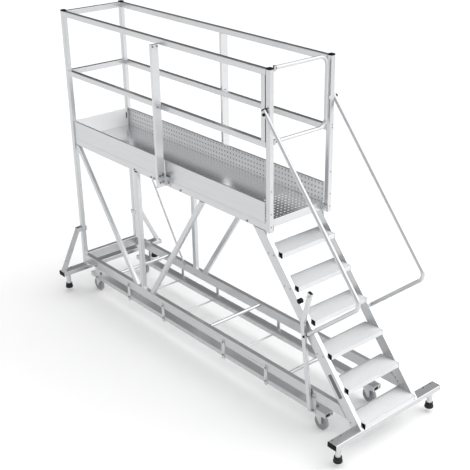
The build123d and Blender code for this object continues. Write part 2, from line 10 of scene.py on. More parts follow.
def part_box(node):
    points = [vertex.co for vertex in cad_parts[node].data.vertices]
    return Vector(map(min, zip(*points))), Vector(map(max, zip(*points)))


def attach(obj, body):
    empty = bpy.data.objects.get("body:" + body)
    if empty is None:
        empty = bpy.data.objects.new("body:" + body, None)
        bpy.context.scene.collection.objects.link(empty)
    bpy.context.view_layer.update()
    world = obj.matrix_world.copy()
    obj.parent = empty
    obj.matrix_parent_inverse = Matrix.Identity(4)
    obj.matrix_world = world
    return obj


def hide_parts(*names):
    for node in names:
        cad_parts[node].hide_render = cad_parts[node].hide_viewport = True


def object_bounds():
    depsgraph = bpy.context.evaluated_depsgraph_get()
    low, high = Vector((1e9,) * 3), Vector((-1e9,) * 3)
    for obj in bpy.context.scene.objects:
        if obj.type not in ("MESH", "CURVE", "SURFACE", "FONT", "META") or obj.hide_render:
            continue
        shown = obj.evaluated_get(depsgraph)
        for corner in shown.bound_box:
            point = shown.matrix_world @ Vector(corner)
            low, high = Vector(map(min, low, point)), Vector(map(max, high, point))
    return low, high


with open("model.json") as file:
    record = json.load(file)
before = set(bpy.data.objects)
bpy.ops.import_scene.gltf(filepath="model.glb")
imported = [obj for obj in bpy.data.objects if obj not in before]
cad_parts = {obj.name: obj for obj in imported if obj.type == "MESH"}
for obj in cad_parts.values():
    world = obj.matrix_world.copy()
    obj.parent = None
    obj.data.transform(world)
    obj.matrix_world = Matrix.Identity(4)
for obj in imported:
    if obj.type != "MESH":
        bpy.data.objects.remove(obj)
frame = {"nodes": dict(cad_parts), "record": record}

# Looks of a mobile work platform: drawn aluminium, a perforated deck, black plastic ends, grey castor wheels.
# Metres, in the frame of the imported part: +X along the deck towards the stair, +Y to the far side, +Z up.

CAD_LOW, CAD_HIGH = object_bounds()
NODES = frame["nodes"]
NEAR, FAR = -1.0, 1.0
HANDS = {NEAR: "near", FAR: "far"}
X_AXIS, Y_AXIS, Z_AXIS = np.eye(3)
MERGE = 1e-6                # points nearer than this are one

# Posts
REAR_POST_X = CAD_LOW[0] + 0.040
STAIR_POST_X = REAR_POST_X + 2.558
POST_Y = 0.286
CAP_SIZE = (0.043, 0.043, 0.012)
CAP_CORNER = 0.012
CAP_DROP = 0.0075           # lower edge of a domed cap below the top of the plain one
UPRIGHT_CORNER = 0.003

# Perforated sheets
HOLE_PITCH = 0.036
HOLE_RADIUS = 0.0072
HOLE_SIDES = 16
DECK_HOLES_LONG = 0.31      # the deck is perforated over this length before the stair
SHEET_THICK = 0.003

# Treads
TREADS = 6
RUN = 0.1687
STAIR_RISE = 0.19983
STAIR_SLOPE = math.atan2(STAIR_RISE, RUN)
DOWN_STAIR = np.array([math.cos(STAIR_SLOPE), 0, -math.sin(STAIR_SLOPE)])
OFF_STAIR = np.array([math.sin(STAIR_SLOPE), 0, math.cos(STAIR_SLOPE)])      # square to the slope, upwards
TREAD_DEEP = 0.172
TREAD_TALL = 0.038
RIBS = 18
RIB_STEPS = 6
RIB_TALL = 0.0012
RIB_HALF = 0.258            # half a rib's length
RIB_BACK = 0.008            # first rib behind the nose
RIBS_DEEP = TREAD_DEEP - 0.020

# Stringers
STRINGER_OUT = 0.298        # outer faces
STRINGER_IN = 0.264         # inner faces
STRINGER_RUN = 0.115        # depth along X
NOSE_AHEAD = 0.020          # nose ahead of the stringer's front, at mid-height of a tread
PLATE_Z = 0.450             # middle of the bare plate on the near stringer
PLATE_SIZE = (0.182, 0.036, 0.0015)
PLATE_CORNER = 0.005
PLATED_TREAD = 4            # the plate covers this tread's rivets, counted from 0 at the top

# Handrails' ends: places as (X, Z), profiles as (radius, height) pairs along the tube
HANDRAIL_Y = 0.322
HANDRAIL_TOP = (REAR_POST_X + 2.5495, 2.2650)
HANDRAIL_FOOT = (REAR_POST_X + 2.9878, 0.7625)
HANDRAIL_SEGMENTS = 32
HANDRAIL_CRISP = 50         # edges that turn by more degrees stay crisp
SLEEVE_RADIUS = 0.0153
SLEEVE_PAST = 0.018         # past the upper end of the tube
SLEEVE_LAP = 0.012          # over the tube
PLUG = ((0, -0.0060), (0.0146, -0.0060), (0.0160, -0.0050), (0.0165, -0.0035), (0.0165, 0.0025), (0, 0.0025))
COLLAR = ((0, 0), (0.0140, 0), (0.0160, 0.0012), (0.0166, 0.0030), (0.0166, 0.0090), (0.0158, 0.0105),
          (0, 0.0105))

# Black studs on the handrails' upper ends and on the lever, and the lever's knob
STUD_SEGMENTS = 24
LEVER_STUD_SEGMENTS = 20
STUD_RADIUS = 0.011
STUD_WALL = 0.009
STUD_DOME = 0.005
HANDRAIL_STUD = (STAIR_POST_X + 0.001, 0.3362, 2.255)
LEVER_STUD = (REAR_POST_X + 2.961, -0.3315, 0.739)
LEVER_STUD_SHARE = (0.8, 0.7)       # its radius and height against the others'
KNOB_SEGMENTS = 32
KNOB_SHOULDER = 0.004

# Castors
WHEEL_SEGMENTS = 48
WHEEL_CRISP = 40            # edges that turn by more degrees stay crisp
# hub, web, rim and tyre of a wheel's face: radius, and height as a share of the half width
WHEEL_FACE = ((0.0, 1.0), (0.011, 1.0), (0.012, 0.50), (0.030, 0.42), (0.040, 0.50), (0.043, 0.86),
              (0.046, 0.86), (0.047, 0.70), (0.051, 0.72), (0.056, 0.88))
CROWN_DROP = 0.005          # edges of the tyre's crown below its middle
CROWN_SHARE = 0.9           # the crown's share of the width
CROWN_POINTS = 13
FORK_BACK = 0.028           # swivel axis from the fork's short end
PEDAL_WIDE = 0.026
PEDAL_THICK = 0.003
PEDAL_TOP = 0.1285
PEDAL_START = 0.020         # behind the swivel axis
PEDAL_LONG = 0.046
PEDAL_DROP = 0.026
PEDAL_TAPER = 0.25          # share of the width that is lost at the tip
PEDAL_POINTS = (12, 5)      # along and across

# Rubber feet: pairs of radius and height, the wall's upper one measured down from the top
FOOT_RADIUS = 0.034
FOOT_SEGMENTS = 40
SOLE_ROUND = 0.006
WALL_FOOT = (0.0332, 0.014)
WALL_TOP = (0.0272, -0.008)
LIP_NECK = 0.0262
LIP_ROUND = 0.0030

# Screw heads: across the flats and height
BOLT = (0.013, 0.006)
RIVET = (0.008, 0.003)
KING_NUT = (0.019, 0.014)
WASHER_WIDE = 1.25          # against the head's radius
WASHER_TALL = 0.16          # against its height, as is the wall under its chamfer
HEAD_WALL = 0.85
HEAD_TOP = 0.8              # radius of the top against the head's
HEAD_SIDES = 6

# Screws: X is measured from the rear posts, and Y of a pair is its distance from the middle.
# The letters at the end of a name say which measures its pairs hold.
MID_POST_X = {NEAR: 1.345, FAR: 1.324}
RAIL_BOLTS_YZ = ((0.356, 2.497), (0.318, 2.497), (0.340, 2.036))
RAIL_BOLT_AHEAD = 0.011     # ahead of the middle post
BRACKET_BOLTS_YZ = ((0.350, 1.485), (0.324, 1.485), (0.350, 1.430), (0.324, 1.430))
BRACKET_BOLT_AHEAD = 0.015
BOARD_BOLTS_XZ = ((0.030, 1.479), (0.054, 1.479), (0.050, 1.427))     # X from the middle post
BOARD_OUT = 0.298
EDGE_BEAM_BOLTS_X = (0.920, 1.151, 1.192, 1.539, 2.324)
EDGE_BEAM_BOLT_YZ = (0.294, 1.404)
STAIR_POST_FRONT = 2.578
STAIR_POST_RIVETS_Z = (1.700, 1.530, 1.433)
STAIR_POST_RIVET_Y = 0.289
FAR_POST_RIVETS_Z = (2.055, 2.033)
FAR_POST_RIVET_Y = 0.294
CLAMP_RIVETS_Z = (0.568, 0.590)
CLAMP_RIVET_XY = (0.026, 0.275)
BEAM_BOLTS_X = (-0.024, 3.442)
BEAM_BOLTS_Y = (0.434, 0.515)
BEAM_TOP = 0.214
FIRST_NOSE = 2.662
FIRST_RIVET_Z = 1.232
TREAD_RIVETS_BACK = (0.050, 0.105)      # behind the nose
STRINGER_FOOT_RIVETS_XZ = ((3.312, 0.316), (3.336, 0.293), (3.358, 0.276), (3.390, 0.294))
STRAPS_X = (0.212, 0.730, 1.233, 2.029, 2.532, 3.050)
STRAP_BOLTS_YZ = ((-0.310, 0.272), (-0.310, 0.158), (0.291, 0.158))
CASTORS_X = (0.212, 3.050)
CASTORS_Y = (-0.264, 0.245)
CASTOR_BAR_TOP = 0.176

# Small plates: middle of the lower face, size and corner
GUSSET_AT = (STAIR_POST_X - 0.022, 0.262, 1.419)
GUSSET_SIZE = (0.074, 0.052, 0.004)
GUSSET_CORNER = 0.006
RAIL_END_AT = (REAR_POST_X + 3.3240, 0.284, 0.2847)
RAIL_END_SIZE = (0.103, 0.0385, 0.002)
RAIL_END_CORNER = 0.004
# painted shade: a thin black plate on the rear board's inner face where a dark slot shows only shade
SLOT_SHADE_AT = (REAR_POST_X + 0.020, 0.252, 1.542)
SLOT_SHADE_SIZE = (0.011, 0.056, 0.001)
SLOT_SHADE_CORNER = 0.005

# The studio: brightness of its walls, and its patches, each with the way to it, how much flatter than round
# it is, the angles in degrees where it is full and where it ends, and its brightness
WALL_LEVEL = 0.60
BRIGHT_PATCH = ((0.55, 0.62, 0.40), 1.0, 25, 60, 1.60)
DARK_PATCH = ((-0.73, 0.65, 0.25), 1.8, 14, 46, 0.06)
LAMP_WAY = (-0.06, 0.02, -1.0)
LAMP_BROAD = math.radians(100)
LAMP_POWER = 0.95
PANEL_AT = (REAR_POST_X + 5.4, 2.6, 2.6)
PANEL_SIZE = 3.5
PANEL_POWER = 45
FLOOR_REACH = 80.0
FLOOR_WHITE = 0.94
FLOOR_GLOW = 0.05

# Finishes
GRAIN_DEEP = 0.0005         # the grain's height in the bump

# Rims of plates: how far in a step lies and how high, in thicknesses
PLATE_RIM = ((0.0, 0.0), (0.0, 0.6), (0.5, 1.0))
CAP_DOME = ((0.0, 0.0), (0.0, 0.55), (0.12, 0.78), (0.40, 0.94), (0.80, 1.0))
SQUARE_EDGE = ((0.0, 0.0), (0.0, 1.0))


def box_of(node):
    """Lowest and highest corner of a CAD node as arrays."""
    low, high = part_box(node)
    return np.array(low), np.array(high)


def put_mesh(name, points, faces, body, material, smooth=False):
    """Makes a mesh object at the origin from arrays of points and faces, riding on a body.

    Points that coincide, as at the poles of turned pieces, become one.
    """
    mesh = bpy.data.meshes.new(name)
    mesh.from_pydata(np.asarray(points).reshape(-1, 3).tolist(), [], [list(face) for face in faces])
    joined = bmesh.new()
    joined.from_mesh(mesh)
    bmesh.ops.remove_doubles(joined, verts=joined.verts, dist=MERGE)
    joined.to_mesh(mesh)
    joined.free()
    mesh.polygons.foreach_set("use_smooth", np.full(len(mesh.polygons), smooth))
    mesh.update()
    piece = bpy.data.objects.new(name, mesh)
    bpy.context.scene.collection.objects.link(piece)
    mesh.materials.append(material)
    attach(piece, body)
    return piece


def thicken(sheet, thick):
    """Gives a sheet its thickness, behind its faces."""
    sheet.modifiers.new("sheet", "SOLIDIFY").thickness = thick


def split_edges(piece, degrees):
    """Keeps edges that turn by more than an angle crisp on a piece with smooth shading."""
    piece.modifiers.new("edges", "EDGE_SPLIT").split_angle = math.radians(degrees)


def grid_faces(rows, columns, closed_columns=False):
    """Quads of a grid of points: each joins a point, its right neighbour and the two in the next row."""
    row = np.arange(rows - 1)
    column = np.arange(columns if closed_columns else columns - 1)
    r, c = np.meshgrid(row, column, indexing="ij")
    right = (c + 1) % columns
    here, there = r * columns, (r + 1) * columns
    return np.stack([here + c, here + right, there + right, there + c], axis=-1).reshape(-1, 4)


def across(out):
    """Two directions square to each given one, so that with it they make right-handed axes."""
    out = np.asarray(out, float)
    helper = np.where(np.abs(out[..., 2:]) > 0.9, X_AXIS, Z_AXIS)
    u = np.cross(helper, out)
    u = u / np.linalg.norm(u, axis=-1, keepdims=True)
    return u, np.cross(out, u)


def arc(centre, radius, start, end, count):
    """Points of a profile on a circle: centre + radius * (cos, sin) between two angles in quarter turns."""
    turn = np.linspace(start, end, count) * math.pi / 2
    return np.asarray(centre) + radius * np.column_stack([np.cos(turn), np.sin(turn)])


def turned(profile, places, outs, segments):
    """Turned pieces: a profile of (radius, height) pairs carried round an axis at each place, all at once.

    A point is place + out * height + radius * (u * cos(angle) + v * sin(angle)). The first and last pairs
    have radius 0, so the ends are closed. The profile runs from the lower end up, so faces point outwards.
    """
    profile = np.asarray(profile, float)
    places = np.atleast_2d(np.asarray(places, float))
    outs = np.broadcast_to(np.asarray(outs, float), places.shape)
    u, v = across(outs)
    angle = np.arange(segments) * 2 * math.pi / segments
    ring = u[:, None] * np.cos(angle)[:, None] + v[:, None] * np.sin(angle)[:, None]
    points = places[:, None, None] + ring[:, None] * profile[:, 0][:, None, None]
    points = points + outs[:, None, None] * profile[:, 1][:, None, None]
    faces = grid_faces(len(profile), segments, closed_columns=True)
    first = np.arange(len(places))[:, None, None] * len(profile) * segments
    return points.reshape(-1, 3), (first + faces).reshape(-1, 4)


def rounded_plate(centre, along, over, size, corner, rim_steps=PLATE_RIM):
    """A plate: a rectangle with round corners carried up through the steps of its rim to its upper face.

    Each corner is a quarter circle of six points, drawn in by the step's inset and raised by its height.
    """
    long, wide, thick = size
    along, over = np.asarray(along, float), np.asarray(over, float)
    out = np.cross(along, over)
    angle = np.linspace(0, math.pi / 2, 6)
    turn = angle + np.arange(4)[:, None] * math.pi / 2
    rim = np.stack([np.cos(turn), np.sin(turn)], axis=-1)
    corner_at = np.array([(1, 1), (-1, 1), (-1, -1), (1, -1)]) * (np.array([long, wide]) / 2 - corner)
    rings = []
    for inset, height in rim_steps:
        flat = (corner_at[:, None] + rim * (corner - inset * thick)).reshape(-1, 2)
        rings.append(np.asarray(centre) + flat[:, :1] * along + flat[:, 1:] * over + out * height * thick)
    count = len(rings[0])
    last = len(rings) - 1
    faces = grid_faces(len(rings), count, closed_columns=True).tolist()
    faces.append(list(range(last * count, (last + 1) * count)))
    faces.append(list(range(count))[::-1])
    return np.concatenate(rings), faces


def perforated_sheet(long, wide, holed):
    """A sheet of square cells on (0..long, 0..wide); cells for which holed is true have a round hole.

    A cell's rim is a square with four points to a side, and its hole is a circle with as many points;
    quads join the two. Cells without a hole are one flat face. Equal rim points are merged.
    """
    columns = round(long / HOLE_PITCH)
    rows = round(wide / HOLE_PITCH)
    size = np.array([long / columns, wide / rows])
    angle = np.arange(HOLE_SIDES) * 2 * math.pi / HOLE_SIDES
    circle = np.stack([np.cos(angle), np.sin(angle)], axis=-1)
    square = circle / np.abs(circle).max(axis=1, keepdims=True) / 2
    i, j = np.meshgrid(np.arange(columns), np.arange(rows), indexing="ij")
    middle = (np.stack([i, j], axis=-1).reshape(-1, 2) + 0.5) * size
    open_cell = holed(middle)
    rim = middle[:, None] + square * size
    hole = middle[open_cell][:, None] + circle * HOLE_RADIUS
    merged, index = np.unique(np.round(rim.reshape(-1, 2), 6), axis=0, return_inverse=True)
    index = index.reshape(-1, HOLE_SIDES)
    first = len(merged) + np.arange(len(hole))[:, None] * HOLE_SIDES + np.arange(HOLE_SIDES)
    outer = index[open_cell]
    quads = np.stack([outer, np.roll(outer, -1, 1), np.roll(first, -1, 1), first], axis=-1).reshape(-1, 4)
    points = np.concatenate([merged, hole.reshape(-1, 2)])
    return points, quads.tolist() + index[~open_cell].tolist()


def deck_plate(material):
    """The deck sheet: a perforated sheet laid flat, with holes over its end at the stair."""
    low, high = box_of("deck_sheet")
    long, wide = high[:2] - low[:2]
    flat, faces = perforated_sheet(long, wide, lambda m: m[:, 0] > long - DECK_HOLES_LONG)
    points = np.column_stack([flat + low[:2], np.full(len(flat), high[2])])
    plate = put_mesh("deck_plate", points, faces, "frame", material)
    thicken(plate, SHEET_THICK)
    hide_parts("deck_sheet")


def lining_plates(material):
    """The linings along the deck: perforated sheets stood on edge, with a plain row along both edges."""
    low, high = box_of("deck_linings")
    long = high[0] - low[0]
    tall = high[2] - low[2]
    margin = HOLE_PITCH / 2
    flat, faces = perforated_sheet(long, tall, lambda m: (m[:, 1] > margin) & (m[:, 1] < tall - margin))
    for side, y in (("near", low[1] + SHEET_THICK), ("far", high[1] - SHEET_THICK)):
        points = np.column_stack([flat[:, 0] + low[0], np.full(len(flat), y), flat[:, 1] + low[2]])
        ring = faces if side == "far" else [face[::-1] for face in faces]
        plate = put_mesh(f"deck_lining_{side}", points, ring, "frame", material)
        thicken(plate, SHEET_THICK)
    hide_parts("deck_linings")


def tread_ribs(material):
    """Fine ribs on each tread: a row of half sine waves across its depth, carried along its width."""
    low, high = box_of("treads")
    share = np.linspace(0, 1, RIBS * RIB_STEPS + 1)
    wave = RIB_TALL * np.abs(np.sin(share * RIBS * math.pi))
    step = (high[2] - low[2] - TREAD_TALL) / (TREADS - 1)
    for i in range(TREADS):
        nose = low[0] + TREAD_DEEP + i * RUN
        x = nose - RIB_BACK - RIBS_DEEP * share
        z = high[2] - i * step + wave
        edges = [np.column_stack([x, np.full_like(x, y), z]) for y in (-RIB_HALF, RIB_HALF)]
        faces = grid_faces(2, len(x))[:, ::-1]
        put_mesh(f"tread_ribs_{i + 1}", np.array(edges), faces, "frame", material)


def castor_wheels(material):
    """Each wheel is one turned piece: hub, dished web, rim and tyre.

    The tyre's crown drops with the cube of the distance from its middle.
    """
    for name in [n for n in NODES if n.startswith("castor_wheel")]:
        low, high = box_of(name)
        centre = (low + high) / 2
        radius = (high[2] - low[2]) / 2
        half = (high[1] - low[1]) / 2
        bow = np.linspace(-1, 1, CROWN_POINTS)
        crown = np.column_stack([radius - CROWN_DROP * np.abs(bow) ** 3, CROWN_SHARE * half * bow])
        face = np.array(WHEEL_FACE) * (1, half)
        profile = np.concatenate([face * (1, -1), crown, face[::-1]])
        points, faces = turned(profile, centre, Y_AXIS, WHEEL_SEGMENTS)
        body = name.replace("castor_wheel", "wheel")
        wheel = put_mesh(f"{name}_turned", points, faces, body, material, smooth=True)
        split_edges(wheel, WHEEL_CRISP)
        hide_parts(name)


def brake_pedals(material):
    """A bent tongue behind each swivel axis.

    It drops by one minus a cosine along its length, and narrows with the cube of the way to its tip.
    """
    for name in [n for n in NODES if n.startswith("castor_fork")]:
        low, high = box_of(name)
        ahead = 1.0 if "front" in name else -1.0
        swivel = low[0] + FORK_BACK if ahead > 0 else high[0] - FORK_BACK
        middle = (low[1] + high[1]) / 2
        t = np.linspace(0, 1, PEDAL_POINTS[0])
        s = np.linspace(-0.5, 0.5, PEDAL_POINTS[1])
        x = swivel - ahead * (PEDAL_START + PEDAL_LONG * t)
        y = middle + PEDAL_WIDE * (1 - PEDAL_TAPER * t[:, None] ** 3) * s
        z = PEDAL_TOP - PEDAL_DROP * (1 - np.cos(t * math.pi / 2))
        points = np.stack(np.broadcast_arrays(x[:, None], y, z[:, None]), axis=-1)
        faces = grid_faces(len(t), len(s))
        upward = faces if ahead < 0 else faces[:, ::-1]
        body = name.replace("castor_fork", "fork")
        pedal = put_mesh(f"{name}_pedal", points, upward, body, material, smooth=True)
        thicken(pedal, PEDAL_THICK)


def rubber_feet(material):
    """Four moulded feet, each turned: a sole with a quarter-circle edge, a tapered wall and a rolled lip."""
    low, high = box_of("rubber_feet")
    tall = high[2] - low[2]
    rows = (low[0] + FOOT_RADIUS, high[0] - FOOT_RADIUS)
    sides = (low[1] + FOOT_RADIUS, high[1] - FOOT_RADIUS)
    places = [(x, y, low[2]) for x in rows for y in sides]
    sole = arc((FOOT_RADIUS - SOLE_ROUND, SOLE_ROUND), SOLE_ROUND, -1, 0, 7)
    wall = [WALL_FOOT, (WALL_TOP[0], tall + WALL_TOP[1])]
    lip = arc((LIP_NECK, tall - LIP_ROUND), LIP_ROUND, -1, 1, 9)
    profile = np.concatenate([[(0, 0)], sole, wall, lip, [(0, tall)]])
    points, faces = turned(profile, places, Z_AXIS, FOOT_SEGMENTS)
    feet = put_mesh("rubber_feet_moulded", points, faces, "frame", material, smooth=True)
    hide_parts("rubber_feet")


def lever_knob(material):
    """The grip on the lever's side rod: a knob turned about Y, with quarter-circle shoulders."""
    low, high = box_of("lever_grip")
    radius = (high[0] - low[0]) / 2
    long = high[1] - low[1]
    start = ((low[0] + high[0]) / 2, high[1], (low[2] + high[2]) / 2)
    lower = arc((radius - KNOB_SHOULDER, KNOB_SHOULDER), KNOB_SHOULDER, -1, 0, 6)
    upper = lower[::-1] * (1, -1) + (0, long)
    profile = np.concatenate([[(0, 0)], lower, upper, [(0, long)]])
    points, faces = turned(profile, start, -Y_AXIS, KNOB_SEGMENTS)
    knob = put_mesh("lever_knob", points, faces, "frame", material, smooth=True)
    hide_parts("lever_grip")


def plastic_studs(material):
    """Black studs on the handrails' upper ends and on the lever: a wall under half an ellipse, turned."""
    dome = arc((0, 0), 1, 0, 1, 7) * (STUD_RADIUS, STUD_DOME) + (0, STUD_WALL)
    profile = np.concatenate([[(0, 0), (STUD_RADIUS, 0)], dome])
    x, y, z = HANDRAIL_STUD
    places = [(x, side * y, z) for side in HANDS]
    outs = [(0, side, 0) for side in HANDS]
    points, faces = turned(profile, places, outs, STUD_SEGMENTS)
    put_mesh("handrail_studs", points, faces, "frame", material, smooth=True)
    points, faces = turned(profile * LEVER_STUD_SHARE, LEVER_STUD, -Y_AXIS, LEVER_STUD_SEGMENTS)
    put_mesh("lever_stud", points, faces, "frame", material, smooth=True)


def handrail_ends(metal, plastic):
    """Sleeves with plugs on the handrails' upper ends, collars on the lower ones, turned about the tubes."""
    top_x, top_z = HANDRAIL_TOP
    foot_x, foot_z = HANDRAIL_FOOT
    tops = np.array([(top_x, side * HANDRAIL_Y, top_z) for side in HANDS]) - SLEEVE_PAST * DOWN_STAIR
    feet = np.array([(foot_x, side * HANDRAIL_Y, foot_z) for side in HANDS])
    long = SLEEVE_PAST + SLEEVE_LAP
    sleeve = ((0, 0), (SLEEVE_RADIUS, 0), (SLEEVE_RADIUS, long), (0, long))
    rows = (("handrail_sleeves", sleeve, tops, DOWN_STAIR, metal, "aluminium"),
            ("handrail_plugs", PLUG, tops, DOWN_STAIR, plastic, "black_plastic"),
            ("handrail_collars", COLLAR, feet, OFF_STAIR, plastic, "black_plastic"))
    for name, profile, places, out, material, slot in rows:
        points, faces = turned(profile, places, out, HANDRAIL_SEGMENTS)
        piece = put_mesh(name, points, faces, "frame", material, smooth=True)
        split_edges(piece, HANDRAIL_CRISP)


def post_caps(material):
    """Domed caps that lap over the four tall posts: rounded squares stepping in towards the top."""
    foot = box_of("end_caps")[1][2] - CAP_DROP
    for row, x in (("rear", REAR_POST_X), ("stair", STAIR_POST_X)):
        for side, hand in HANDS.items():
            centre = (x, side * POST_Y, foot)
            points, faces = rounded_plate(centre, X_AXIS, Y_AXIS, CAP_SIZE, CAP_CORNER, CAP_DOME)
            put_mesh(f"post_cap_{row}_{hand}", points, faces, "frame", material)


def near_end_upright(material):
    """The upright that closes the near side panel beside the stair post: a rounded square carried up."""
    low, high = box_of("end_uprights")
    wide = high[0] - low[0]
    foot = ((low[0] + high[0]) / 2, low[1] + wide / 2, low[2])
    size = (wide, wide, high[2] - low[2])
    points, faces = rounded_plate(foot, X_AXIS, Y_AXIS, size, UPRIGHT_CORNER, SQUARE_EDGE)
    upright = put_mesh("end_upright_near", points, faces, "frame", material)
    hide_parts("end_uprights")


def small_plates(metal, pale, grey, plastic):
    """Rounded plates on the near stringer, inside the deck's end and on the base rails' mitred ends, and a
    thin black plate of painted shade on the rear board, where a dark slot shows only shade.

    The stringer's plate lies on its middle line, which falls by STAIR_RISE over each RUN to the last nose.
    """
    low, high = box_of("treads")
    above = PLATE_Z - (low[2] + TREAD_TALL / 2)
    middle = high[0] - NOSE_AHEAD - above * RUN / STAIR_RISE - STRINGER_RUN / 2
    over = np.cross(-Y_AXIS, DOWN_STAIR)
    # name, middle of the lower face, long way, wide way, size, corner, finish, slot
    rows = [("stringer_plate", (middle, -STRINGER_OUT, PLATE_Z), DOWN_STAIR, over, PLATE_SIZE, PLATE_CORNER,
             grey, "zinc_steel")]
    for side, hand in HANDS.items():
        mirror = np.array([1, side, 1])
        rows += [(f"stair_post_gusset_{hand}", mirror * GUSSET_AT, X_AXIS * side, Z_AXIS, GUSSET_SIZE,
                  GUSSET_CORNER, metal, "aluminium"),
                 (f"base_rail_end_{hand}", mirror * RAIL_END_AT, DOWN_STAIR, Y_AXIS, RAIL_END_SIZE,
                  RAIL_END_CORNER, pale, "aluminium")]
    # a black plate of painted shade, standing in for the shade inside the rear board's slot
    rows.append(("rear_board_slot_shade", SLOT_SHADE_AT, Y_AXIS, Z_AXIS, SLOT_SHADE_SIZE, SLOT_SHADE_CORNER,
                 plastic, "black_plastic"))
    for name, centre, along, wide_way, size, corner, material, slot in rows:
        points, faces = rounded_plate(centre, along, wide_way, size, corner)
        put_mesh(name, points, faces, "frame", material)


def screws(name, table, head, material):
    """Six-sided heads on a washer: rings of points round each screw's axis, found for all screws at once.

    Each row of the table gives a place, with X from the rear posts, and the direction that the head faces.
    """
    table = np.asarray(table, float)
    wide, tall = head
    radius = wide / math.sqrt(3)
    rim = WASHER_WIDE * radius
    washer = WASHER_TALL * tall
    profile = [(0, 0), (rim, 0), (rim, washer), (radius, washer), (radius, HEAD_WALL * tall),
               (HEAD_TOP * radius, tall), (0, tall)]
    points, faces = turned(profile, table[:, :3] + (REAR_POST_X, 0, 0), table[:, 3:6], HEAD_SIDES)
    put_mesh(name, points, faces, "frame", material)


def all_screws(material):
    """Heads where the frame is bolted or riveted together: rows of a place and a direction for each kind."""
    bolts = []
    rivets = []
    for side in HANDS:
        post = MID_POST_X[side]
        bolts += [(post + RAIL_BOLT_AHEAD, side * y, z, 1, 0, 0) for y, z in RAIL_BOLTS_YZ]
        bolts += [(post + BRACKET_BOLT_AHEAD, side * y, z, 1, 0, 0) for y, z in BRACKET_BOLTS_YZ]
        bolts += [(post + x, side * BOARD_OUT, z, 0, side, 0) for x, z in BOARD_BOLTS_XZ]
        y, z = EDGE_BEAM_BOLT_YZ
        bolts += [(x, side * y, z, 0, side, 0) for x in EDGE_BEAM_BOLTS_X]
        bolts += [(x, side * y, BEAM_TOP, 0, 0, 1) for y in BEAM_BOLTS_Y for x in BEAM_BOLTS_X]
        rivets += [(STAIR_POST_FRONT, side * STAIR_POST_RIVET_Y, z, 1, 0, 0) for z in STAIR_POST_RIVETS_Z]
        x, y = CLAMP_RIVET_XY
        rivets += [(x, side * y, z, 1, 0, 0) for z in CLAMP_RIVETS_Z]
        rivets += [(x, side * STRINGER_IN, z, 0, -side, 0) for x, z in STRINGER_FOOT_RIVETS_XZ]
        for i in range(TREADS):
            if side == NEAR and i == PLATED_TREAD:
                continue
            nose = FIRST_NOSE + i * RUN
            z = FIRST_RIVET_Z - i * STAIR_RISE
            rivets += [(nose - back, side * STRINGER_OUT, z, 0, side, 0) for back in TREAD_RIVETS_BACK]
    rivets += [(STAIR_POST_FRONT, FAR_POST_RIVET_Y, z, 1, 0, 0) for z in FAR_POST_RIVETS_Z]
    bolts += [(x, y, z, 0, math.copysign(1, y), 0) for x in STRAPS_X for y, z in STRAP_BOLTS_YZ]
    king_nuts = [(x, y, CASTOR_BAR_TOP, 0, 0, 1) for x in CASTORS_X for y in CASTORS_Y]
    screws("frame_bolts", bolts, BOLT, material)
    screws("frame_rivets", rivets, RIVET, material)
    screws("castor_king_nuts", king_nuts, KING_NUT, material)


def grain_group():
    """Noise on Object coordinates, stretched along the way a profile is drawn: broad tone and fine height."""
    group = bpy.data.node_groups.new("drawn_metal_grain", "ShaderNodeTree")
    group.interface.new_socket("Stretch", in_out="INPUT", socket_type="NodeSocketVector")
    group.interface.new_socket("Tone", in_out="OUTPUT", socket_type="NodeSocketFloat")
    group.interface.new_socket("Height", in_out="OUTPUT", socket_type="NodeSocketFloat")
    nodes, links = group.nodes, group.links
    enter = nodes.new("NodeGroupInput")
    leave = nodes.new("NodeGroupOutput")
    place = nodes.new("ShaderNodeTexCoord")
    stretch = nodes.new("ShaderNodeVectorMath")
    stretch.operation = "MULTIPLY"
    links.new(place.outputs["Object"], stretch.inputs[0])
    links.new(enter.outputs["Stretch"], stretch.inputs[1])
    for socket, scale, detail in (("Tone", 1.0, 3.0), ("Height", 9.0, 2.0)):
        noise = nodes.new("ShaderNodeTexNoise")
        noise.inputs["Scale"].default_value = scale
        noise.inputs["Detail"].default_value = detail
        links.new(stretch.outputs["Vector"], noise.inputs["Vector"])
        links.new(noise.outputs["Fac"], leave.inputs[socket])
    return group


def finish(name, dark, light, roughness, stretch, bump, metallic=0.0, specular=0.5):
    """A finish whose colour and roughness drift with the broad tone, with a fine bump from the grain."""
    material = bpy.data.materials.new(name)
    material.use_nodes = True
    nodes, links = material.node_tree.nodes, material.node_tree.links
    shader = nodes["Principled BSDF"]
    shader.inputs["Metallic"].default_value = metallic
    shader.inputs["Specular IOR Level"].default_value = specular
    grain = nodes.new("ShaderNodeGroup")
    grain.node_tree = GRAIN
    grain.inputs["Stretch"].default_value = stretch
    mix = nodes.new("ShaderNodeMix")
    mix.data_type = "RGBA"
    mix.inputs["A"].default_value = (*dark, 1)
    mix.inputs["B"].default_value = (*light, 1)
    links.new(grain.outputs["Tone"], mix.inputs["Factor"])
    links.new(mix.outputs["Result"], shader.inputs["Base Color"])
    spread = nodes.new("ShaderNodeMapRange")
    spread.inputs["To Min"].default_value = roughness[0]
    spread.inputs["To Max"].default_value = roughness[1]
    links.new(grain.outputs["Tone"], spread.inputs["Value"])
    links.new(spread.outputs["Result"], shader.inputs["Roughness"])
    relief = nodes.new("ShaderNodeBump")
    relief.inputs["Strength"].default_value = bump
    relief.inputs["Distance"].default_value = GRAIN_DEEP
    links.new(grain.outputs["Height"], relief.inputs["Height"])
    links.new(relief.outputs["Normal"], shader.inputs["Normal"])
    return material


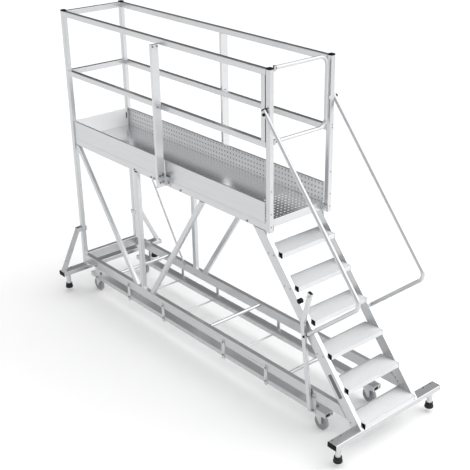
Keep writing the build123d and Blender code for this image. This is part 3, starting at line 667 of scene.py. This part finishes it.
def paint_shade_behind_linings(material, reach, top, painted_shade):
    """Paints shade into the colour of what lies within a half width and below a level: the boards' inner
    faces behind the linings, where the narrow gap behind the perforated sheets lies in shade.
    """
    nodes, links = material.node_tree.nodes, material.node_tree.links
    colour = nodes["Principled BSDF"].inputs["Base Color"]
    clean = colour.links[0].from_socket
    place = nodes.new("ShaderNodeTexCoord")
    split = nodes.new("ShaderNodeSeparateXYZ")
    links.new(place.outputs["Object"], split.inputs[0])
    size = nodes.new("ShaderNodeMath")
    size.operation = "ABSOLUTE"
    links.new(split.outputs["Y"], size.inputs[0])
    both = nodes.new("ShaderNodeMath")
    both.operation = "MULTIPLY"
    for i, (value, limit) in enumerate(((size.outputs[0], reach), (split.outputs["Z"], top))):
        below = nodes.new("ShaderNodeMath")
        below.operation = "LESS_THAN"
        below.inputs[1].default_value = limit
        links.new(value, below.inputs[0])
        links.new(below.outputs[0], both.inputs[i])
    # painted shade: a flat grey mixed over the clean colour where the mask holds
    mix = nodes.new("ShaderNodeMix")
    mix.data_type = "RGBA"
    mix.inputs["B"].default_value = (*painted_shade, 1)
    links.new(both.outputs[0], mix.inputs["Factor"])
    links.new(clean, mix.inputs["A"])
    links.new(mix.outputs["Result"], colour)


def floor():
    """A pale floor wide enough to fill the view, with a faint glow that keeps it near white."""
    corners = [(x * FLOOR_REACH, y * FLOOR_REACH, 0) for x, y in ((-1, -1), (1, -1), (1, 1), (-1, 1))]
    mesh = bpy.data.meshes.new("floor")
    mesh.from_pydata(corners, [], [(0, 1, 2, 3)])
    plane = bpy.data.objects.new("floor", mesh)
    bpy.context.scene.collection.objects.link(plane)
    material = bpy.data.materials.new("pale_floor")
    material.use_nodes = True
    shader = material.node_tree.nodes["Principled BSDF"]
    shader.inputs["Base Color"].default_value = (FLOOR_WHITE, FLOOR_WHITE, FLOOR_WHITE, 1)
    shader.inputs["Roughness"].default_value = 0.9
    shader.inputs["Specular IOR Level"].default_value = 0.1
    shader.inputs["Emission Color"].default_value = (1, 1, 1, 1)
    shader.inputs["Emission Strength"].default_value = FLOOR_GLOW
    mesh.materials.append(material)


def studio_walls():
    """Grey walls with a bright patch beyond the stair and a dark one beyond the rear, both on the far side.

    A patch fades smoothly with the cosine of the angle between a direction, flattened, and the way to it.
    """
    world = bpy.data.worlds.new("studio")
    bpy.context.scene.world = world
    world.use_nodes = True
    nodes, links = world.node_tree.nodes, world.node_tree.links
    place = nodes.new("ShaderNodeTexCoord")
    level = None
    for toward, flat, full, end, value in (BRIGHT_PATCH, DARK_PATCH):
        squeeze = nodes.new("ShaderNodeVectorMath")
        squeeze.operation = "MULTIPLY"
        squeeze.inputs[1].default_value = (1, 1, flat)
        links.new(place.outputs["Generated"], squeeze.inputs[0])
        unit = nodes.new("ShaderNodeVectorMath")
        unit.operation = "NORMALIZE"
        links.new(squeeze.outputs["Vector"], unit.inputs[0])
        dot = nodes.new("ShaderNodeVectorMath")
        dot.operation = "DOT_PRODUCT"
        dot.inputs[1].default_value = Vector(toward).normalized()
        links.new(unit.outputs["Vector"], dot.inputs[0])
        fade = nodes.new("ShaderNodeMapRange")
        fade.interpolation_type = "SMOOTHSTEP"
        fade.inputs["From Min"].default_value = math.cos(math.radians(end))
        fade.inputs["From Max"].default_value = math.cos(math.radians(full))
        links.new(dot.outputs["Value"], fade.inputs["Value"])
        mix = nodes.new("ShaderNodeMix")
        links.new(fade.outputs["Result"], mix.inputs["Factor"])
        mix.inputs["A"].default_value = WALL_LEVEL
        mix.inputs["B"].default_value = value
        if level:
            links.new(level, mix.inputs["A"])
        level = mix.outputs["Result"]
    # seen past the floor's edge the studio is white, as the floor is
    path = nodes.new("ShaderNodeLightPath")
    seen = nodes.new("ShaderNodeMix")
    links.new(path.outputs["Is Camera Ray"], seen.inputs["Factor"])
    links.new(level, seen.inputs["A"])
    seen.inputs["B"].default_value = 1.0
    links.new(seen.outputs["Result"], nodes["Background"].inputs["Strength"])
    nodes["Background"].inputs["Color"].default_value = (1, 1, 1, 1)
    bpy.context.scene.view_settings.view_transform = "Standard"


def studio_lights():
    """A broad lamp from above, and a panel that lights the floor beyond the stair for the metal to mirror."""
    lamp = bpy.data.lights.new("broad_lamp", "SUN")
    lamp.energy = LAMP_POWER
    lamp.angle = LAMP_BROAD
    lamp_object = bpy.data.objects.new("broad_lamp", lamp)
    lamp_object.rotation_euler = Vector(LAMP_WAY).to_track_quat("-Z", "Y").to_euler()
    bpy.context.scene.collection.objects.link(lamp_object)
    panel = bpy.data.lights.new("floor_panel", "AREA")
    panel.size = PANEL_SIZE
    panel.energy = PANEL_POWER
    panel_object = bpy.data.objects.new("floor_panel", panel)
    panel_object.location = PANEL_AT
    bpy.context.scene.collection.objects.link(panel_object)


def photo_camera():
    """The camera that was solved from the photo's straight edges, in pixels of its 470 square frame."""
    frame_px = 470
    focal_px, centre_x, centre_y = 955.39, 264.05, 240.02
    azimuth, elevation, roll = (math.radians(a) for a in (48.3247, 24.8364, -0.2165))
    eye = Vector((7.082 + REAR_POST_X, -4.368, 4.150))
    level = math.cos(elevation)
    forward = Vector((-math.sin(azimuth) * level, math.cos(azimuth) * level, -math.sin(elevation)))
    right = forward.cross(Vector((0, 0, 1))).normalized()
    up = right.cross(forward)
    turn = Matrix((right, up, -forward)).transposed() @ Matrix.Rotation(roll, 3, "Z")
    camera = bpy.data.cameras.new("photo_camera")
    camera.sensor_width = 36
    camera.lens = camera.sensor_width * focal_px / frame_px
    camera.shift_x = (frame_px / 2 - centre_x) / frame_px
    camera.shift_y = (centre_y - frame_px / 2) / frame_px
    camera_object = bpy.data.objects.new("photo_camera", camera)
    camera_object.matrix_world = Matrix.Translation(eye) @ turn.to_4x4()
    bpy.context.scene.collection.objects.link(camera_object)
    bpy.context.scene.camera = camera_object


GRAIN = grain_group()

# How the grain is stretched: along the way that a profile is drawn, or the same all ways
DRAWN_LONG = (1.5, 60, 60)
DRAWN_ACROSS = (60, 1.5, 60)
DRAWN_UPRIGHT = (60, 60, 1.5)
ROLLED = (2, 30, 30)
CAST = (60, 60, 60)
TYRE = (80, 80, 80)
MOULDED = (120, 120, 120)

# Satin of the drawn profiles: dark and light tone, roughness
SATIN = ((0.57, 0.58, 0.59), (0.64, 0.65, 0.66), (0.24, 0.36))

FINISHES = {
    "aluminium": finish("drawn_aluminium_long", *SATIN, DRAWN_LONG, 0.06, metallic=1.0),
    "deck_aluminium": finish("deck_sheet_aluminium", (0.76, 0.77, 0.78), (0.80, 0.81, 0.82), (0.20, 0.26),
                             ROLLED, 0.03, metallic=1.0),
    "tread_aluminium": finish("tread_aluminium", (0.72, 0.73, 0.74), (0.78, 0.79, 0.80), (0.52, 0.62),
                              DRAWN_ACROSS, 0.05, metallic=1.0),
    "zinc_steel": finish("zinc_steel", (0.60, 0.61, 0.63), (0.72, 0.73, 0.75), (0.25, 0.40),
                         CAST, 0.05, metallic=1.0),
    "black_plastic": finish("black_plastic", (0.002, 0.002, 0.002), (0.005, 0.005, 0.005), (0.45, 0.55),
                            MOULDED, 0.10, specular=0.12),
    "rubber": finish("black_rubber", (0.005, 0.005, 0.005), (0.010, 0.010, 0.010), (0.50, 0.62),
                     MOULDED, 0.15, specular=0.35),
    "wheel_grey": finish("grey_wheel_rubber", (0.27, 0.28, 0.29), (0.35, 0.36, 0.37), (0.35, 0.50),
                         TYRE, 0.10),
}
BLACK_PLASTIC = FINISHES["black_plastic"]
UPRIGHT_METAL = finish("drawn_aluminium_upright", *SATIN, DRAWN_UPRIGHT, 0.06, metallic=1.0)
ACROSS_METAL = finish("drawn_aluminium_across", *SATIN, DRAWN_ACROSS, 0.06, metallic=1.0)
PALE_METAL = finish("pale_aluminium_upright", (0.62, 0.63, 0.64), (0.69, 0.70, 0.71), (0.28, 0.40),
                    DRAWN_UPRIGHT, 0.06, metallic=0.9)
REAR_METAL = finish("rear_board_aluminium", (0.90, 0.91, 0.92), (0.94, 0.95, 0.96), (0.40, 0.46),
                    DRAWN_ACROSS, 0.03, metallic=0.15)
LINING_METAL = finish("lining_aluminium", (0.84, 0.85, 0.86), (0.88, 0.89, 0.90), (0.36, 0.42),
                      DRAWN_LONG, 0.03, metallic=0.35)
SCREW_STEEL = finish("screw_steel", (0.26, 0.27, 0.28), (0.36, 0.37, 0.38), (0.28, 0.42),
                     CAST, 0.05, metallic=1.0)
PLATE_GREY = finish("grey_plate", (0.13, 0.13, 0.13), (0.18, 0.18, 0.18), (0.45, 0.55),
                    DRAWN_LONG, 0.04, metallic=0.3)
BOARD_METAL = finish("toe_board_aluminium", *SATIN, DRAWN_LONG, 0.06, metallic=1.0)
# painted shade on the toe boards' inner faces, which shows dark through the linings' holes
paint_shade_behind_linings(BOARD_METAL, box_of("side_toe_boards")[1][1] - SHEET_THICK / 2, box_of("deck_linings")[1][2],
                 (0.30, 0.30, 0.30))

# CAD nodes whose finish isn't their slot's own
OWN_FINISH = {"side_toe_boards": BOARD_METAL, "rear_toe_board": REAR_METAL}
UPRIGHT_NODES = ("corner_posts", "stair_posts", "support_legs")
PALE_NODES = ("mid_posts", "mid_post_brackets", "hanger_straps", "lift_lever")
ACROSS_NODES = ("rear_beam", "front_beam", "base_cross_tubes", "deck_bearers", "hanger_rods")
for names, metal in ((UPRIGHT_NODES, UPRIGHT_METAL), (PALE_NODES, PALE_METAL), (ACROSS_NODES, ACROSS_METAL)):
    OWN_FINISH.update(dict.fromkeys(names, metal))
for part in frame["record"]["subparts"]:
    slots = NODES[part["node"]].data.materials
    slots.clear()
    slots.append(OWN_FINISH.get(part["node"], FINISHES[part["material_slot"]]))

deck_plate(FINISHES["deck_aluminium"])
lining_plates(LINING_METAL)
tread_ribs(FINISHES["tread_aluminium"])
castor_wheels(FINISHES["wheel_grey"])
brake_pedals(FINISHES["zinc_steel"])
rubber_feet(FINISHES["rubber"])
lever_knob(BLACK_PLASTIC)
plastic_studs(BLACK_PLASTIC)
handrail_ends(FINISHES["aluminium"], BLACK_PLASTIC)
post_caps(BLACK_PLASTIC)
near_end_upright(UPRIGHT_METAL)
small_plates(FINISHES["aluminium"], REAR_METAL, PLATE_GREY, BLACK_PLASTIC)
all_screws(SCREW_STEEL)

floor()
studio_walls()
studio_lights()
photo_camera()
